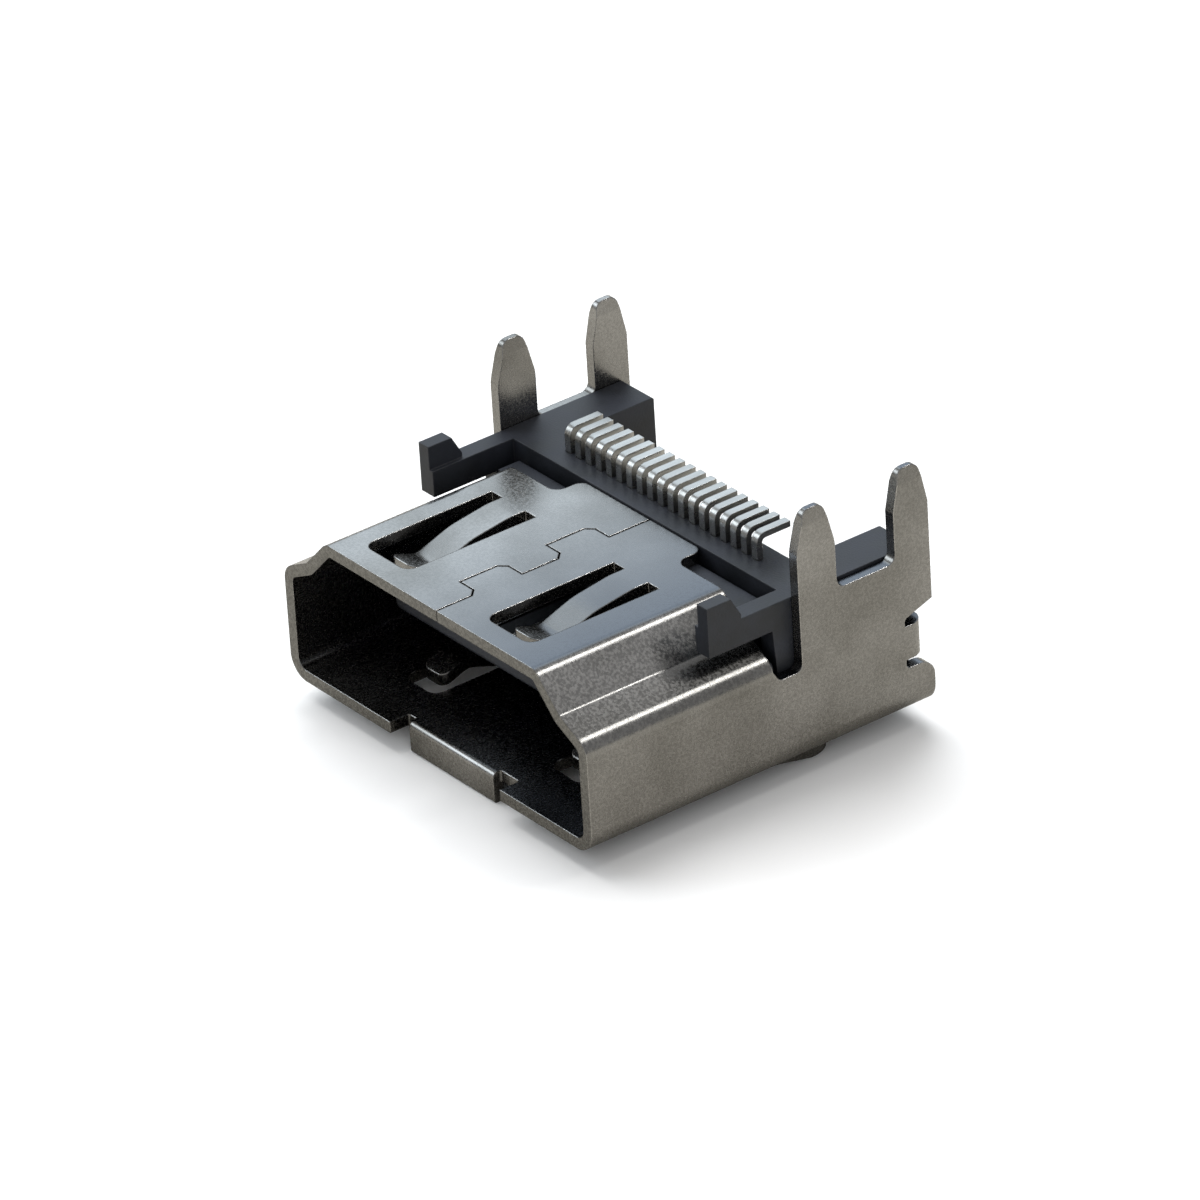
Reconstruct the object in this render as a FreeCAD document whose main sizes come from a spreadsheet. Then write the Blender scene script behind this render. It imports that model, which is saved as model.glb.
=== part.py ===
import FreeCAD, Part
import os
import re
import Sketcher

# Board-mount audio and video receptacle with nineteen contacts, lying with its board side up.
# X runs across the mouth, Y from the mouth to the rear, Z up to the board. Lengths are in millimetres.
# Heights in the sheet are counted from the outer face of the wide wall, depths from the front edge.

SIZES = [
    # Folded sheet around the mouth
    ("mouth_width", 14.0, "clear width inside the mouth"),
    ("mouth_height", 4.6, "clear height inside the mouth"),
    ("sheet_gauge", 0.38, "thickness of the folded sheet"),
    ("side_rise", 3.06, "height of the upright side inside the mouth"),
    ("step_rise", 3.58, "height of the bend between shoulder and slope"),
    ("step_width", 11.92, "width between the shoulder bends"),
    ("narrow_width", 9.92, "inside width of the narrow wall"),
    ("narrow_bend", 0.15, "inside radius beside the narrow wall"),
    ("step_bend", 0.55, "radius of the bend from slope to shoulder"),
    ("shoulder_bend", 0.25, "inside radius from shoulder to side"),
    ("wide_bend", 0.35, "inside radius beside the wide wall"),
    ("sleeve_depth", 6.95, "depth of the closed sleeve"),
    ("shell_depth", 12.96, "depth of the side plates and the wide wall"),
    # Joint of the two sheet ends in the narrow wall
    ("seam_gap", 0.06, "width of the joint line"),
    ("seam_offset", 0.36, "joint line, to the right of the middle"),
    ("dovetail_reach", 0.9, "reach of a dovetail across the joint"),
    ("dovetail_corner", 0.25, "cut corner of a dovetail"),
    ("dovetail_front", 1.57, "start of the first dovetail"),
    ("dovetail_short", 1.62, "length of the first dovetail"),
    ("dovetail_rear", 4.78, "start of the second dovetail"),
    ("dovetail_long", 1.66, "length of the second dovetail"),
    # Tab of the narrow wall that meets the contact carrier
    ("tab_width", 5.8, "width of the rear tab"),
    ("tab_root", 0.4, "radius at the root of the tab"),
    ("tab_corner", 0.35, "radius at the end of the tab"),
    # Plug springs in both walls
    ("window_inner", 1.885, "half of the space between the narrow wall's windows"),
    ("window_offset", 0.22, "both windows of the narrow wall, to the left of the middle"),
    ("window_width", 2.17, "width of a window of the narrow wall"),
    ("window_front", 0.8, "front end of a window of the narrow wall"),
    ("window_rear", 5.6, "rear end of a window of the narrow wall"),
    ("window_corner", 0.38, "radius of the front corners of a window"),
    ("wide_window_inner", 2.79, "from the middle to a window of the wide wall"),
    ("wide_window_width", 1.58, "width of a window of the wide wall"),
    ("wide_shift", 1.13, "how much deeper the wide wall's windows and spring tips lie"),
    ("wide_root_shift", 0.45, "how much deeper their rear ends and spring roots lie"),
    ("spring_width", 1.12, "width of a plug spring of the narrow wall"),
    ("wide_spring_width", 1.05, "width of a plug spring of the wide wall"),
    ("spring_tip", 1.35, "depth at which a plug spring ends"),
    ("spring_touch", 2.3, "depth of the touching bend"),
    ("spring_dip", 0.64, "how far the touching bend stands inside the wall"),
    ("spring_lift", 0.34, "how far the tip turns back"),
    ("spring_bend", 0.5, "inside radius of the touching bend"),
    ("spring_knee", 3.6, "depth at which a plug spring bends further"),
    ("spring_sag", 0.2, "how far it stands inside the wall there"),
    ("spring_root", 5.0, "depth at which a plug spring starts to bend"),
    ("spring_ease", 2.4, "inside radius of those long bends"),
    ("spring_corner", 0.3, "rounding of a plug spring's end"),
    # Lip and slots at the front edge of the wide wall
    ("lip_width", 4.1, "width of the turned lip"),
    ("left_slot", 0.4, "width of the slot left of the lip"),
    ("right_slot", 0.9, "width of the slot right of the lip"),
    ("slot_depth", 0.72, "depth of the slots beside the lip"),
    ("slot_corner", 0.08, "radius at the end of a slot"),
    ("lip_setback", 0.42, "from the front edge to the face of the lip"),
    ("lip_drop", 0.66, "how far the lip hangs below the wide wall"),
    ("lip_crown", 0.2, "outside radius of the lip's bend"),
    ("lip_bend", 0.06, "inside radius of the lip's bend"),
    ("lip_edge", 0.1, "rounding of the lip's lower edges"),
    # Earthing springs that stand out of the wide wall
    ("earth_inner", 5.45, "from the middle to an earthing spring"),
    ("earth_width", 1.0, "width of an earthing spring"),
    ("earth_slot", 0.15, "slot around an earthing spring"),
    ("earth_root", 6.0, "root of an earthing spring"),
    ("earth_touch", 8.9, "depth at which an earthing spring is lowest"),
    ("earth_flat", 0.3, "length of its lowest stretch"),
    ("earth_tip", 9.62, "free end of an earthing spring"),
    ("earth_drop", 0.6, "how far an earthing spring stands out"),
    ("earth_lift", 0.22, "how far its end turns back"),
    ("earth_bend", 0.3, "inside radius of its bends"),
    # Side plates and board legs
    ("gap_floor", 3.1, "floor of the gap between sleeve and side plate"),
    ("gap_slant", 0.2, "how far the sleeve's side runs into the gap at its floor"),
    ("gap_corner", 0.24, "radius of the gap's corners"),
    ("plate_front", 8.03, "front edge of the side plate"),
    ("front_leg_width", 1.42, "width of the front leg"),
    ("rear_leg_width", 1.3, "width of the rear leg"),
    ("saddle_height", 5.32, "edge of the side plate between its legs"),
    ("saddle_corner", 0.3, "radius between leg and saddle"),
    ("leg_shoulder", 6.95, "height at which a leg starts to taper"),
    ("leg_curve", 1.2, "rounding of the front leg's shoulders"),
    ("leg_tip", 8.3, "height of the leg's tip"),
    ("coin_length", 0.45, "length of the leg's thinned tip"),
    ("coin_depth", 0.1, "how much each face of the tip is set in"),
    ("leg_tip_width", 0.72, "width of the leg's tip"),
    ("leg_rounding", 0.3, "rounding of the leg's tip"),
    ("notch_front", 11.9, "front of the notch in the rear edge"),
    ("notch_top", 3.3, "top of the notch"),
    ("notch_rise", 0.36, "rise of the notch's slanted top"),
    ("notch_bottom", 1.62, "bottom of the notch"),
    ("notch_corner", 0.14, "radius of the notch's corners"),
    ("heel_rounding", 0.55, "rounding of the heel under the notch"),
    # Crimp tabs that hold the contact carrier
    ("crimp_low", 1.92, "lower edge of a crimp tab"),
    ("crimp_high", 3.04, "upper edge of a crimp tab"),
    ("crimp_reach", 1.3, "how far a crimp tab reaches inwards"),
    ("crimp_bend", 0.15, "inside radius of the crimp"),
    ("crimp_setback", 0.26, "from the rear edge to the crimped tab"),
    # Tongue moulding
    ("fit_gap", 0.02, "clearance around a fitted moulding"),
    ("tongue_width", 11.3, "width of the tongue"),
    ("tongue_gap", 1.6, "space between tongue and wide wall"),
    ("tongue_gauge", 1.15, "thickness of the tongue"),
    ("tongue_front", 2.6, "front edge of the tongue"),
    ("tongue_rounding", 0.25, "rounding of the tongue's front edge"),
    ("tongue_corner", 0.4, "rounding of the tongue's corners seen from above"),
    ("base_front", 6.3, "floor of the mouth"),
    ("wing_rear", 7.25, "rear face of the moulding beside the ledge"),
    ("ledge_width", 11.6, "width of the ledge behind the narrow wall"),
    ("ledge_slot", 0.18, "open slot between ledge and carrier"),
    ("ledge_slot_depth", 0.6, "depth of that slot"),
    # Contact carrier
    ("carrier_front", 8.0, "front face of the carrier's wall"),
    ("wall_depth", 1.45, "depth of the carrier's wall"),
    ("carrier_top", 5.42, "top of the carrier"),
    ("end_block_inner", 5.45, "from the middle to an end block"),
    ("end_block_rear", 12.68, "rear face of an end block"),
    ("end_step", 3.2, "height of the step for the crimp tab"),
    ("arm_width", 0.63, "width of an arm"),
    ("arm_front", 4.95, "front end of an arm"),
    ("arm_floor", 4.55, "underside of an arm"),
    ("foot_front", 7.3, "front face of the foot under an arm"),
    ("foot_slant", 0.12, "how far the foot's front leans back"),
    ("foot_floor", 2.9, "lower end of the foot"),
    ("knob_width", 0.48, "width of the board stop on an arm"),
    ("knob_top", 6.2, "top of the board stop"),
    ("knob_length", 0.88, "length of the board stop's top"),
    ("knob_ramp", 0.35, "length of the ramp behind it"),
    ("knob_step", 0.15, "step at the foot of the ramp"),
    ("moulded_edge", 0.08, "rounding of the moulded edges"),
    # Contacts
    ("contact_pitch", 0.5, "pitch of the tails"),
    ("contact_width", 0.27, "width of a contact"),
    ("contact_gauge", 0.2, "thickness of a contact"),
    ("contact_proud", 0.06, "how far a contact stands out of the tongue"),
    ("contact_front", 3.0, "front end of a contact"),
    ("contact_nose", 0.12, "rounding of that end"),
    ("contact_gap", 0.01, "clearance around a contact"),
    ("riser_front", 8.67, "front face of the upright part"),
    ("tail_top", 6.3, "soldered face of the tails"),
    ("tail_end", 9.95, "free end of the tails"),
    ("contact_bend", 0.14, "inside radius of a contact's bends"),
]
CONTACT_COUNT = 19
NAMES = sorted((row[0] for row in SIZES), key=len, reverse=True)
ALIAS = re.compile(r"\b(" + "|".join(NAMES) + r")\b")

document = FreeCAD.newDocument("receptacle")
sheet = document.addObject("Spreadsheet::Sheet", "sizes")
for row, (alias, value, meaning) in enumerate(SIZES, start=1):
    sheet.set("A%d" % row, alias)
    sheet.set("B%d" % row, str(value))
    sheet.set("C%d" % row, meaning)
    sheet.setAlias("B%d" % row, alias)
document.recompute()

PLANES = {"X": "YZ_Plane", "Y": "XZ_Plane", "Z": "XY_Plane"}
LINES = {"X": "X_Axis", "Y": "Y_Axis", "Z": "Z_Axis"}
# Directions of a sketch's own normal on each plane
NORMAL_SIGN = {"X": 1, "Y": -1, "Z": 1}


def bound(text):
    """Return an expression in which every size points at the sheet."""
    return ALIAS.sub(r"sizes.\1", text)


def worth(text):
    """Return the number that an expression stands for now."""
    return float(sheet.evalExpression(bound(text)))


def on_side(side, text):
    """Return an expression for the same place on the right or the left side."""
    return "(%s) * %d" % (text, side)


def side_span(side, low, high):
    """Return the lower and the higher end of a span across X on one side."""
    if side > 0:
        return low, high
    return "-(%s)" % high, "-(%s)" % low


def new_body(label, across="0"):
    """Start a sub-part whose frame stands at the middle of the footprint."""
    body = document.addObject("PartDesign::Body", label)
    body.Label = label
    body.setExpression("Placement.Base.x", bound(across))
    body.setExpression("Placement.Base.y", bound("-shell_depth / 2"))
    body.setExpression("Placement.Base.z", bound("max(lip_drop; earth_drop)"))
    settle(body)
    return body


def origin_part(body, role):
    """Find one of the body's own origin planes or axes."""
    return next(item for item in body.Origin.OriginFeatures if item.Role == role)


def settle(item):
    """Compute one object and mark it as done."""
    item.recompute()
    item.purgeTouched()


def outline(body, name, axis, level, corners):
    """Draw a closed outline square to an axis, each corner held by two sizes."""
    sketch = body.newObject("Sketcher::SketchObject", name)
    sketch.AttachmentSupport = [(origin_part(body, PLANES[axis]), "")]
    sketch.MapMode = "FlatFace"
    height = level if NORMAL_SIGN[axis] > 0 else "-(%s)" % level
    sketch.setExpression("AttachmentOffset.Base.z", bound(height))
    spots = [FreeCAD.Vector(worth(first), worth(second), 0) for first, second in corners]
    lines = []
    rules = []
    for index, spot in enumerate(spots):
        following = (index + 1) % len(spots)
        lines.append(Part.LineSegment(spot, spots[following]))
        rules.append(Sketcher.Constraint("Coincident", index, 2, following, 1))
    for index, spot in enumerate(spots):
        rules.append(Sketcher.Constraint("DistanceX", -1, 1, index, 1, spot.x))
        rules.append(Sketcher.Constraint("DistanceY", -1, 1, index, 1, spot.y))
    sketch.addGeometry(lines, False)
    sketch.addConstraint(rules)
    for index, corner in enumerate(corners):
        for turn, text in enumerate(corner):
            row = len(corners) + 2 * index + turn
            sketch.setExpression("Constraints[%d]" % row, bound(text))
    settle(sketch)
    return sketch


def volume(body):
    """Return the volume of the body's last feature, or nothing before the first."""
    return body.Tip.Shape.Volume if body.Tip else 0.0


def prism(body, kind, name, axis, corners, low, high):
    """Add or cut a prism between two levels along an axis."""
    before = volume(body)
    sketch = outline(body, name + "_outline", axis, low, corners)
    feature = body.newObject("PartDesign::" + kind, name)
    feature.Profile = sketch
    feature.setExpression("Length", bound("(%s) - (%s)" % (high, low)))
    along_normal = kind == "Pad"
    feature.Reversed = (NORMAL_SIGN[axis] > 0) != along_normal
    body.Tip = feature
    settle(feature)
    change = volume(body) - before
    if (change > 0) != along_normal or abs(change) < 1e-6:
        raise RuntimeError("%s changed the volume by %.6f" % (name, change))
    return feature


def block(low_x, high_x, low_y, high_y):
    """Return the corners of a rectangle."""
    return [(low_x, low_y), (high_x, low_y), (high_x, high_y), (low_x, high_y)]


def edges_along(feature, axis, spots, reach):
    """Name the straight edges that run along an axis through the given places."""
    others = [name for name in "XYZ" if name != axis]
    places = [(worth(first), worth(second)) for first, second in spots]
    names = []
    for number, edge in enumerate(feature.Shape.Edges, start=1):
        if not isinstance(edge.Curve, Part.Line):
            continue
        direction = edge.Curve.Direction
        if abs(getattr(direction, axis.lower())) < 0.999:
            continue
        middle = edge.CenterOfMass
        if reach and abs(getattr(middle, axis.lower())) > worth(reach):
            continue
        here = [getattr(middle, name.lower()) for name in others]
        if any(abs(here[0] - place[0]) < 1e-4 and abs(here[1] - place[1]) < 1e-4 for place in places):
            names.append("Edge%d" % number)
    if len(names) < len(places):
        raise RuntimeError("%s has %d of %d edges" % (feature.Name, len(names), len(places)))
    return names


def rounded(body, name, axis, spots, radius, reach=None):
    """Round the edges that run along an axis through the given places, within reach of the middle."""
    base = body.Tip
    feature = body.newObject("PartDesign::Fillet", name)
    feature.Base = (base, edges_along(base, axis, spots, reach))
    feature.setExpression("Radius", bound(radius))
    body.Tip = feature
    settle(feature)
    if not feature.isValid() or feature.Shape.isNull():
        raise RuntimeError("%s was not rounded" % name)
    return feature


# Places shared by the sheet and the mouldings

FLOOR = "sheet_gauge"
CEILING = "sheet_gauge + mouth_height"
TOP = "2 * sheet_gauge + mouth_height"
INSIDE = "mouth_width / 2"
OUTSIDE = "mouth_width / 2 + sheet_gauge"
MOULDED_SIDE = "mouth_width / 2 - fit_gap"
MOULDED_FLOOR = "sheet_gauge + fit_gap"
CRIMP_REAR = "shell_depth - crimp_setback"
TONGUE_LOW = "sheet_gauge + tongue_gap"
TONGUE_HIGH = "sheet_gauge + tongue_gap + tongue_gauge"
LOWER_BLADE = TONGUE_LOW + " - contact_proud"
UPPER_BLADE = TONGUE_HIGH + " + contact_proud - contact_gauge"
BENDS = ("wide_bend", "shoulder_bend", "step_bend", "narrow_bend")


def mouth_profile(gap):
    """Return the cross-section of the mouth, drawn in by a clearance."""
    right = [
        ("mouth_width / 2 - %s" % gap, "sheet_gauge + %s" % gap),
        ("mouth_width / 2 - %s" % gap, "sheet_gauge + side_rise - %s" % gap),
        ("step_width / 2 - %s" % gap, "sheet_gauge + step_rise - %s" % gap),
        ("narrow_width / 2 - %s" % gap, "sheet_gauge + mouth_height - %s" % gap),
    ]
    left = [("-(%s)" % x, z) for x, z in reversed(right)]
    return right + left


def round_mouth(body, profile):
    """Round the corners of a prism that has the mouth's cross-section."""
    for corner, radius in enumerate(BENDS):
        rounded(body, radius + "s", "Y", [profile[corner], profile[-1 - corner]], radius)


def make_sleeve(body):
    """Fold the closed tube around the mouth and open it behind the mouth."""
    profile = mouth_profile("0")
    prism(body, "Pad", "mouth_space", "Y", profile, "0", "shell_depth")
    round_mouth(body, profile)
    core = body.Tip
    ends = []
    for number, face in enumerate(core.Shape.Faces, start=1):
        if abs(face.normalAt(0, 0).y) > 0.999:
            ends.append("Face%d" % number)
    wall = body.newObject("PartDesign::Thickness", "folded_wall")
    wall.Base = (core, ends)
    wall.setExpression("Value", bound("sheet_gauge"))
    wall.Join = 0
    wall.Reversed = False
    body.Tip = wall
    settle(wall)
    open_rear = [
        ("sleeve_depth", "leg_tip"),
        ("sleeve_depth", "sheet_gauge + side_rise"),
        ("sleeve_depth + gap_slant", "gap_floor"),
        ("shell_depth + sheet_gauge", "gap_floor"),
        ("shell_depth + sheet_gauge", "leg_tip"),
    ]
    prism(body, "Pocket", "open_rear", "X", open_rear, "-mouth_width", "mouth_width")


def make_rear_tab(body):
    """Run the narrow wall back to the carrier as a tab with curved roots."""
    half = "tab_width / 2"
    end = "carrier_front - fit_gap"
    prism(body, "Pad", "rear_tab", "Z", block("-" + half, half, "window_rear + sheet_gauge", end), CEILING, TOP)
    rounded(body, "tab_roots", "Z", [("-" + half, "sleeve_depth"), (half, "sleeve_depth")], "tab_root")
    rounded(body, "tab_corners", "Z", [("-" + half, end), (half, end)], "tab_corner")


def spring_profile(outer, inward, shift, root_shift):
    """Return the side view of a plug spring; inward is 1 or -1 along Z."""
    sag = "%s + %d * spring_sag" % (outer, inward)
    dip = "%s + %d * spring_dip" % (outer, inward)
    end = "%s + %d * (spring_dip - spring_lift)" % (outer, inward)
    outer_side = [
        ("window_rear + sheet_gauge + " + root_shift, outer),
        ("spring_root + " + root_shift, outer),
        ("spring_knee + " + shift, sag),
        ("spring_touch + " + shift, dip),
        ("spring_tip + " + shift, end),
    ]
    inner_side = [(y, "%s + %d * sheet_gauge" % (z, inward)) for y, z in outer_side]
    return outer_side + inner_side[::-1]


def make_plug_springs(body):
    """Cut two windows in each wide face and bend a spring into the mouth from each."""
    walls = (
        ("narrow", "window_", "spring_width", "window_offset", CEILING, TOP, TOP, -1, "0", "0"),
        ("wide", "wide_window_", "wide_spring_width", "0", "0", FLOOR, "0", 1, "wide_shift", "wide_root_shift"),
    )
    for wall, window_name, width, offset, low, high, outer, inward, shift, root_shift in walls:
        inner = window_name + "inner"
        outer_end = "%s + %swidth" % (inner, window_name)
        near = "%s + (%swidth - %s) / 2" % (inner, window_name, width)
        front = "window_front + " + shift
        profile = spring_profile(outer, inward, shift, root_shift)
        tip = profile[4][0]
        for side, hand in ((1, "right"), (-1, "left")):
            name = "%s_%s" % (wall, hand)
            window_x = ["%s - %s" % (x, offset) for x in side_span(side, inner, outer_end)]
            window = block(window_x[0], window_x[1], front, "window_rear + " + root_shift)
            prism(body, "Pocket", name + "_window", "Z", window, low, high)
            corners = [(window_x[0], front), (window_x[1], front)]
            rounded(body, name + "_window_corners", "Z", corners, "window_corner")
            spring_x = ["%s - %s" % (x, offset) for x in side_span(side, near, "%s + %s" % (near, width))]
            prism(body, "Pad", name + "_spring", "X", profile, spring_x[0], spring_x[1])
            rounded(body, name + "_spring_end", "Z", [(spring_x[0], tip), (spring_x[1], tip)], "spring_corner")
            rounded(body, name + "_touch_outer", "X", [profile[3]], "spring_bend")
            rounded(body, name + "_touch_inner", "X", [profile[6]], "spring_bend + sheet_gauge")
            rounded(body, name + "_root_outer", "X", profile[1:3], "spring_ease + sheet_gauge")
            rounded(body, name + "_root_inner", "X", profile[7:9], "spring_ease")


def seam_band():
    """Return the outline of the joint line: straight runs and two dovetails."""
    line = "seam_offset"
    far = "seam_offset - dovetail_reach"
    # Each place is followed by how far the edges of the line lie from it, in half gaps
    path = [(line, "-seam_gap", 1, 0)]
    for start, length in (("dovetail_front", "dovetail_short"), ("dovetail_rear", "dovetail_long")):
        end = "%s + %s" % (start, length)
        path += [
            (line, start + " - dovetail_corner", 1, 0.4),
            (line + " - dovetail_corner", start, 0.4, 1),
            (far, start, 1, 1),
            (far, end + " - dovetail_corner", 1, -0.4),
            (far + " + dovetail_corner", end, 0.4, -1),
            (line, end, 1, -1),
        ]
    path.append((line, "carrier_front + seam_gap", 1, 0))
    left = [("%s - %g * seam_gap / 2" % (x, a), "%s + %g * seam_gap / 2" % (y, -b)) for x, y, a, b in path]
    right = [("%s + %g * seam_gap / 2" % (x, a), "%s + %g * seam_gap / 2" % (y, b)) for x, y, a, b in path]
    return left + right[::-1]


def make_lip(body):
    """Slot the wide wall's front edge and turn the stretch between the slots outwards."""
    half = "lip_width / 2"
    slots = (("right", half, half + " + right_slot"), ("left", "-%s - left_slot" % half, "-" + half))
    for hand, low_x, high_x in slots:
        slot = block(low_x, high_x, "-slot_depth", "slot_depth")
        prism(body, "Pocket", hand + "_lip_slot", "Z", slot, "0", FLOOR)
        ends = [(low_x, "slot_depth"), (high_x, "slot_depth")]
        rounded(body, hand + "_lip_slot_end", "Z", ends, "slot_corner")
    stretch = block("-%s - left_slot / 2" % half, half + " + right_slot / 2", "-lip_setback", "lip_setback")
    prism(body, "Pocket", "lip_setback_cut", "Z", stretch, "0", FLOOR)
    lip_rear = "lip_setback + sheet_gauge"
    turned = block("lip_setback", lip_rear, "-lip_drop", "sheet_gauge / 2")
    prism(body, "Pad", "lip", "X", turned, "-" + half, half)
    rounded(body, "lip_bend_inner", "X", [(lip_rear, "0")], "lip_bend")
    rounded(body, "lip_bend_outer", "X", [("lip_setback", FLOOR)], "lip_crown", half)
    rounded(body, "lip_edges", "X", turned[:2], "lip_edge")


def make_earth_springs(body):
    """Free a tongue of the wide wall on each side and bend it outwards."""
    for side, hand in ((1, "right"), (-1, "left")):
        slot_x = side_span(side, "earth_inner - earth_slot", "earth_inner + earth_width + earth_slot")
        slot = block(slot_x[0], slot_x[1], "earth_root", "earth_tip + earth_slot")
        prism(body, "Pocket", hand + "_earth_slot", "Z", slot, "0", FLOOR)
        lower = [
            ("earth_root - sheet_gauge", "0"),
            ("earth_root", "0"),
            ("earth_touch", "-earth_drop"),
            ("earth_touch + earth_flat", "-earth_drop"),
            ("earth_tip", "earth_lift - earth_drop"),
        ]
        upper = [(y, z + " + sheet_gauge") for y, z in lower]
        spring_x = side_span(side, "earth_inner", "earth_inner + earth_width")
        prism(body, "Pad", hand + "_earth_spring", "X", lower + upper[::-1], spring_x[0], spring_x[1])
        ends = [(spring_x[0], "earth_tip"), (spring_x[1], "earth_tip")]
        rounded(body, hand + "_earth_end", "Z", ends, "spring_corner")
        rounded(body, hand + "_earth_under", "X", lower[2:4], "earth_bend + sheet_gauge")
        rounded(body, hand + "_earth_over", "X", upper[2:4], "earth_bend")


def plate_profile():
    """Return the side view of a side plate with its two tapered board legs."""
    low = "gap_floor - gap_corner - sheet_gauge"
    corners = [("plate_front", low), ("shell_depth", low)]
    rear_leg = ("shell_depth - rear_leg_width", "shell_depth")
    front_leg = ("plate_front", "plate_front + front_leg_width")
    for near, far in (rear_leg, front_leg):
        middle = "((%s) + (%s)) / 2" % (near, far)
        corners += [
            (far, "leg_shoulder"),
            (middle + " + leg_tip_width / 2", "leg_tip"),
            (middle + " - leg_tip_width / 2", "leg_tip"),
            (near, "leg_shoulder"),
        ]
        if near != "plate_front":
            corners += [(near, "saddle_height"), ("plate_front + front_leg_width", "saddle_height")]
    return corners


def coin_legs(body):
    """Thin the tips of the legs on both faces."""
    foot = "leg_tip - coin_length"
    head = "leg_tip + coin_length"
    for side, hand in ((1, "right"), (-1, "left")):
        for face, inwards, where in ((OUTSIDE, -1, "outer"), (INSIDE, 1, "inner")):
            wedge = [
                (on_side(side, face), foot),
                (on_side(side, "%s - %d * coin_depth" % (face, inwards)), head),
                (on_side(side, "%s + %d * 2 * coin_depth" % (face, inwards)), head),
            ]
            name = "%s_%s_coin" % (hand, where)
            prism(body, "Pocket", name, "Y", wedge, "plate_front - sheet_gauge", "shell_depth + sheet_gauge")


def make_side_plates(body):
    """Stand up both side plates with their legs, the gap in front and the notch behind."""
    profile = plate_profile()
    for side, hand in ((1, "right"), (-1, "left")):
        plate_x = side_span(side, INSIDE, OUTSIDE)
        prism(body, "Pad", hand + "_plate", "X", profile, plate_x[0], plate_x[1])
    tips = [profile[number] for number in (3, 4, 9, 10)]
    rounded(body, "leg_tips", "X", tips, "leg_rounding")
    rounded(body, "front_leg_shoulders", "X", [profile[8], profile[11]], "leg_curve")
    rounded(body, "saddle_corners", "X", [profile[6], profile[7]], "saddle_corner")
    gap_ends = [("sleeve_depth + gap_slant", "gap_floor"), ("plate_front", "gap_floor")]
    rounded(body, "gap_corners", "X", gap_ends, "gap_corner")
    notch = [
        ("notch_front", "notch_bottom"),
        ("shell_depth + notch_corner", "notch_bottom"),
        ("shell_depth + notch_corner", "notch_top + notch_rise"),
        ("shell_depth", "notch_top + notch_rise"),
        ("notch_front", "notch_top"),
    ]
    coin_legs(body)
    prism(body, "Pocket", "rear_notch", "X", notch, "-mouth_width", "mouth_width")
    rounded(body, "notch_corners", "X", [notch[0], notch[4]], "notch_corner")
    rounded(body, "heels", "X", [("shell_depth", "notch_bottom")], "heel_rounding")


def make_crimp_tabs(body):
    """Bend a tab out of each notch behind the carrier's end block."""
    for side, hand in ((1, "right"), (-1, "left")):
        tab = [
            (on_side(side, INSIDE), "notch_front - sheet_gauge"),
            (on_side(side, OUTSIDE), "notch_front - sheet_gauge"),
            (on_side(side, OUTSIDE), CRIMP_REAR),
            (on_side(side, OUTSIDE + " - crimp_reach"), CRIMP_REAR),
            (on_side(side, OUTSIDE + " - crimp_reach"), CRIMP_REAR + " - sheet_gauge"),
            (on_side(side, INSIDE), CRIMP_REAR + " - sheet_gauge"),
        ]
        prism(body, "Pad", hand + "_crimp", "Z", tab, "crimp_low", "crimp_high")
        rounded(body, hand + "_crimp_inner", "Z", [tab[5]], "crimp_bend")
        rounded(body, hand + "_crimp_outer", "Z", [tab[2]], "crimp_bend + sheet_gauge")
        ends = [(tab[3][0], "crimp_low"), (tab[3][0], "crimp_high")]
        rounded(body, hand + "_crimp_end", "Y", ends, "crimp_bend")


def make_shell():
    """Make the folded sheet as one piece."""
    body = new_body("shell")
    make_sleeve(body)
    make_rear_tab(body)
    make_plug_springs(body)
    prism(body, "Pocket", "seam", "Z", seam_band(), CEILING, TOP)
    make_lip(body)
    make_earth_springs(body)
    make_side_plates(body)
    make_crimp_tabs(body)
    return body


def repeat_across(body, name, feature, step, count):
    """Repeat a feature across the mouth."""
    pattern = body.newObject("PartDesign::LinearPattern", name)
    pattern.Originals = [feature]
    pattern.Direction = (origin_part(body, LINES["X"]), [""])
    pattern.setExpression("Length", bound("(%s) * %d" % (step, count - 1)))
    pattern.Occurrences = count
    body.Tip = pattern
    settle(pattern)
    return pattern


def contact_rows():
    """Return both rows of contacts: name, blade height, count and first place across."""
    return (
        ("lower", LOWER_BLADE, (CONTACT_COUNT + 1) // 2, "-contact_pitch * %d" % (CONTACT_COUNT // 2)),
        ("upper", UPPER_BLADE, CONTACT_COUNT // 2, "-contact_pitch * %d" % (CONTACT_COUNT // 2 - 1)),
    )


def cut_channels(body, channel):
    """Cut a channel for every contact; channel returns its side view for a blade height."""
    half = "(contact_width / 2 + contact_gap)"
    for row_name, blade, count, first in contact_rows():
        name = row_name + "_channel"
        low_x = "%s - %s" % (first, half)
        high_x = "%s + %s" % (first, half)
        before = volume(body)
        single = prism(body, "Pocket", name, "X", channel(blade), low_x, high_x)
        one = before - volume(body)
        repeat_across(body, name + "s", single, "2 * contact_pitch", count)
        if before - volume(body) < one * (count - 0.5):
            raise RuntimeError("%s cut too little" % name)


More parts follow.
